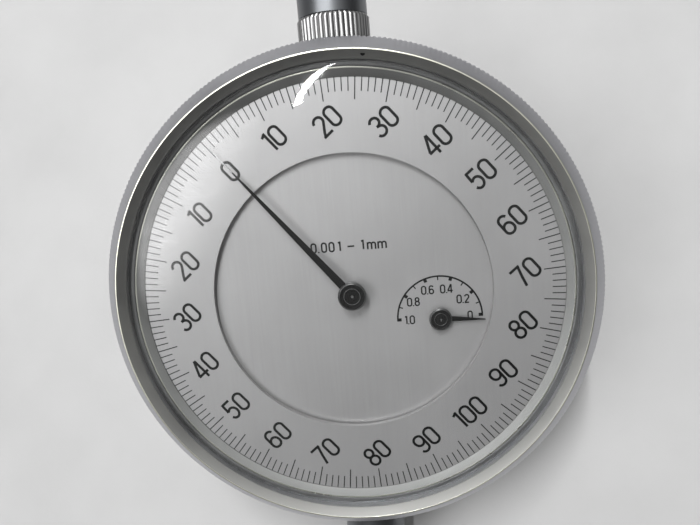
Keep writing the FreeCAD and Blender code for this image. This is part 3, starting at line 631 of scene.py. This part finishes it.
# slot 1 paints the highlight on the rim, groove and centre dimple
h1 = lathe("main_hub", hub, [M_GUN, M_HUB_RIM_PAINTED_HIGHLIGHT], segs=128,
           mat_of=lambda r, d: 1 if (1.44 < r < 1.655 and d < -0.74) or r < 0.16 and d < -0.95 or (r > 1.4 and d > -0.45) or (0.90 < r < 0.96 and d < -1.1) else 0)
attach(h1, "centre_wheel"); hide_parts("pointer_hub")
hub2 = rounded([(0, -0.12), (0.12, -0.12), (0.24, -0.22), (0.28, -0.22), (0.30, -0.19), (0.66, -0.19), (0.70, -0.22), (0.74, -0.22), (0.78, -0.19),
                (1.04, -0.19), (1.08, -0.25), (1.16, -0.25), (1.32, -0.12), (1.32, 0.19), (0.65, 0.19), (0.65, 0.36),
                (1.0, 0.36), (1.0, 0.62), (0.4, 0.62), (0.4, -0.02), (0, -0.02)],
               [0, 0.02, 0.02, 0.01, 0.01, 0.01, 0.01, 0.01, 0.01, 0.02, 0.02, 0.02, 0.04, 0.03, 0, 0, 0.02, 0.02, 0, 0, 0], 3)
h2 = lathe("counter_hub_turned", hub2, [M_GUN2, M_HUB_RIM_PAINTED_HIGHLIGHT], segs=112, at=(CX, CY),
           mat_of=lambda r, d: 1 if (1.14 < r < 1.325 and d < 0.18) or r < 0.12 and d < -0.08 or (0.70 < r < 0.74 and d < -0.2) else 0)
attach(h2, "counter_wheel"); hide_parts("counter_hub")

# ------------------------------------------------------------------ cap and collar
cl, ch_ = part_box("cap_collar")
KY0, KY1 = (cl[2] - DC.z) / MM, (ch_[2] - DC.z) / MM
tl, th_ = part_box("spindle_cap")
CT = (th_[2] - DC.z) / MM
tube = rounded([(0, CT - 1.2), (2.9, CT - 1.2), (2.9, KY1), (4.02, KY1), (4.16, KY1 + 0.12), (4.16, CT - 1.3), (3.75, CT - 0.35), (2.6, CT), (0, CT)],
               [0, 0.1, 0.05, 0.05, 0.05, 0.6, 0.5, 0.6, 0], 6)
cap = lathe("cap_tube", tube, [M_CHROME], segs=160, axis="y", sharp=40)
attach(cap, "case_body"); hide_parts("spindle_cap")
NC = 42


def col_ripple(r, w, s, a):
    if r > 4.2 and KY0 + 0.2 < w < KY1 - 0.2:
        return (-0.15, -0.06, 0.0, 0.0, 0.0, -0.06)[s % 6]
    return 0.0


cp = [(3.2, KY0), (4.16, KY0), (4.35, KY0 + 0.22), (4.35, KY0 + 0.3), (4.35, KY1 - 0.3), (4.35, KY1 - 0.22), (4.18, KY1), (3.2, KY1)]
col = lathe("collar_knurled", cp, [M_CHROME_K], segs=NC * 6, axis="y", ripple=col_ripple, sharp=38)
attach(col, "case_body"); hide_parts("cap_collar")

# ------------------------------------------------------------------ carried-over CAD nodes
finish = {
    "dial_ring": M_RING, "inner_dial": M_DIAL, "case": M_CASE, "back_cover": M_COVER, "lug": M_CASE,
    "stem": M_CHROME, "gasket": M_RUBBER, "bezel_wire": M_STEEL_D, "cover_screws": M_STEEL_D, "lug_screws": M_STEEL_D,
    "spindle": M_STEEL, "rack": M_STEEL_D, "guide_pin": M_STEEL_D, "stop_collar": M_BRASS, "spring_arm": M_STEEL_D,
    "contact_point": M_STEEL, "contact_ball": M_CHROME, "lower_bush": M_BRASS, "upper_bush": M_BRASS,
    "rear_cock": M_PLATE, "guide_bar": M_STEEL, "posts": M_BRASS, "post_screws": M_STEEL_D, "cock_jewel": M_RUBY,
    "spring_post": M_STEEL_D, "hairspring_stud": M_BRASS, "front_plate": M_PLATE, "middle_plate": M_PLATE,
    "front_jewels": M_RUBY, "middle_jewels": M_RUBY, "plate_screws": M_STEEL_D, "pillars": M_BRASS,
    "pillar_screws": M_STEEL_D, "first_arbor": M_STEEL_D, "first_gear": M_BRASS, "second_arbor": M_STEEL_D,
    "second_gear": M_BRASS, "centre_arbor": M_STEEL_D, "counter_arbor": M_STEEL_D, "counter_gear": M_BRASS,
    "takeup_arbor": M_STEEL_D, "takeup_gear": M_BRASS, "collet": M_BRASS, "hairspring": M_BLUE, "return_spring": M_STEEL_D,
}
for name, mat in finish.items():
    o = NODES[name]
    for i in range(len(o.material_slots)):
        o.material_slots[i].link = "OBJECT"
        o.material_slots[i].material = mat
    for p in o.data.polygons:
        p.use_smooth = True
    es = o.modifiers.new("edges", "EDGE_SPLIT")
    es.split_angle = math.radians(30)

# ------------------------------------------------------------------ stage: the pale surface it lies on
n_obj = Vector((0.0, -0.9516, 0.3074))          # up from the surface, resting on the lug and the contact ball
ll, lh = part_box("lug")
lug_c = Vector((DC.x, lh[1] - 5.2 * MM, (ll[2] + lh[2]) / 2))
foot = lug_c - n_obj * (5.2 * MM + 0.0001)
u = Vector((1, 0, 0))
v = n_obj.cross(u).normalized()
bm = bmesh.new()
N = 48
S = 0.30
grid = []
for i in range(N + 1):
    row = []
    for j in range(N + 1):
        x, y = (i / N - 0.5) * 2 * S, (j / N - 0.5) * 2 * S
        row.append(bm.verts.new(foot + u * x + v * y))
    grid.append(row)
for i in range(N):
    for j in range(N):
        bm.faces.new((grid[i][j], grid[i + 1][j], grid[i + 1][j + 1], grid[i][j + 1]))
me = bpy.data.meshes.new("floor")
bm.to_mesh(me); bm.free()
floor = bpy.data.objects.new("floor", me)
bpy.context.scene.collection.objects.link(floor)
if me.polygons[0].normal.dot(n_obj) < 0:
    me.flip_normals()
k = Mat("floor_pale")
k.set(Roughness=0.85, Specular_IOR_Level=0.25)
k.l(k.ramp(k.noise(k.mapped(), 60.0, 6.0), g(0.47), g(0.51)), k.b.inputs["Base Color"])
k.l(k.bump(k.noise(k.mapped(), 1800.0, 3.0), 0.15, 0.0001), k.b.inputs["Normal"])
geo = k.n("ShaderNodeNewGeometry")
tr = k.n("ShaderNodeBsdfTransparent")
mx = k.n("ShaderNodeMixShader")
k.l(geo.outputs["Backfacing"], mx.inputs[0])
k.l(k.b.outputs[0], mx.inputs[1])
k.l(tr.outputs[0], mx.inputs[2])
k.l(mx.outputs[0], k.out.inputs["Surface"])
me.materials.append(k.m)


# ------------------------------------------------------------------ lights
def area(name, loc, target, size, power, size_y=None, color=(1, 1, 1)):
    d = bpy.data.lights.new(name, "AREA")
    d.energy = power
    d.color = color
    d.shape = "RECTANGLE" if size_y else "DISK"
    d.size = size
    if size_y:
        d.size_y = size_y
    o = bpy.data.objects.new(name, d)
    bpy.context.scene.collection.objects.link(o)
    o.location = loc
    o.rotation_mode = "QUATERNION"
    o.rotation_quaternion = (Vector(target) - Vector(loc)).to_track_quat("-Z", "Y")
    return o


# a long narrow tube overhead gives the streak in the crystal
def tube(name, a, b, width, power, toward):
    a, b = Vector(a), Vector(b)
    o = area(name, (a + b) / 2, toward, (b - a).length, power, width)
    zax = ((a + b) / 2 - Vector(toward)).normalized()
    xax = (b - a).normalized()
    xax = (xax - zax * xax.dot(zax)).normalized()
    yax = zax.cross(xax)
    o.rotation_quaternion = Matrix((xax, yax, zax)).transposed().to_quaternion()
    return o


tube("tube", P(-50, 74, -303), P(-40, 440, -303), 0.009, 0.30, P(0, 10, 0))
tube("key", P(-47, 150, -300), P(-43, 290, -300), 0.011, 1.0, P(0, 10, 0))
area("top", P(-60, 430, -230), P(0, 0, 0), 0.26, 0.06, 0.26)
area("back", P(90, 190, 260), P(0, 0, 8), 0.30, 1.3)

w = bpy.data.worlds.new("world")
bpy.context.scene.world = w
w.use_nodes = True
nt = w.node_tree
nt.nodes.clear()
wo = nt.nodes.new("ShaderNodeOutputWorld")
bg = nt.nodes.new("ShaderNodeBackground")
tcw = nt.nodes.new("ShaderNodeTexCoord")


def lobe(direction, deg_in, deg_out, level, floor_level=0.0):
    """Soft round patch of sky; direction is (x, y, toward the viewer) of the dial."""
    d = Vector((direction[0], -direction[2], direction[1])).normalized()
    dot = nt.nodes.new("ShaderNodeVectorMath")
    dot.operation = "DOT_PRODUCT"
    dot.inputs[1].default_value = d
    nt.links.new(tcw.outputs["Generated"], dot.inputs[0])
    m = nt.nodes.new("ShaderNodeMapRange")
    m.interpolation_type = "SMOOTHSTEP"
    m.inputs["From Min"].default_value = math.cos(math.radians(deg_out))
    m.inputs["From Max"].default_value = math.cos(math.radians(deg_in))
    m.inputs["To Min"].default_value = floor_level
    m.inputs["To Max"].default_value = level
    nt.links.new(dot.outputs["Value"], m.inputs["Value"])
    return m.outputs[0]


def math2(op, a, b):
    n = nt.nodes.new("ShaderNodeMath")
    n.operation = op
    for i, v in enumerate((a, b)):
        if isinstance(v, (int, float)):
            n.inputs[i].default_value = v
        else:
            nt.links.new(v, n.inputs[i])
    return n.outputs[0]


ceiling = lobe((-0.0, 0.12, 1.0), 28, 60, 0.31)
topsky = lobe((-0.1, 1.0, 0.35), 10, 55, 0.22)
leftsky = lobe((-1.0, 0.1, 0.1), 10, 50, 0.22)
window = lobe((-0.53, 0.11, 0.83), 8, 21, 5.2)
dark = lobe((0.42, -0.80, 0.70), 26, 40, 0.10, 1.0)
total = math2("ADD", ceiling, math2("ADD", topsky, math2("ADD", leftsky, window)))
behind = lobe((0.0, 0.35, -1.0), 20, 85, 0.45)
total = math2("ADD", math2("ADD", math2("MULTIPLY", total, dark), 0.10), behind)
comb = nt.nodes.new("ShaderNodeCombineColor")
nt.links.new(total, comb.inputs[0])
nt.links.new(total, comb.inputs[1])
nt.links.new(math2("MULTIPLY", total, 1.0), comb.inputs[2])
nt.links.new(comb.outputs[0], bg.inputs["Color"])
bg.inputs["Strength"].default_value = 1.0
nt.links.new(bg.outputs[0], wo.inputs["Surface"])
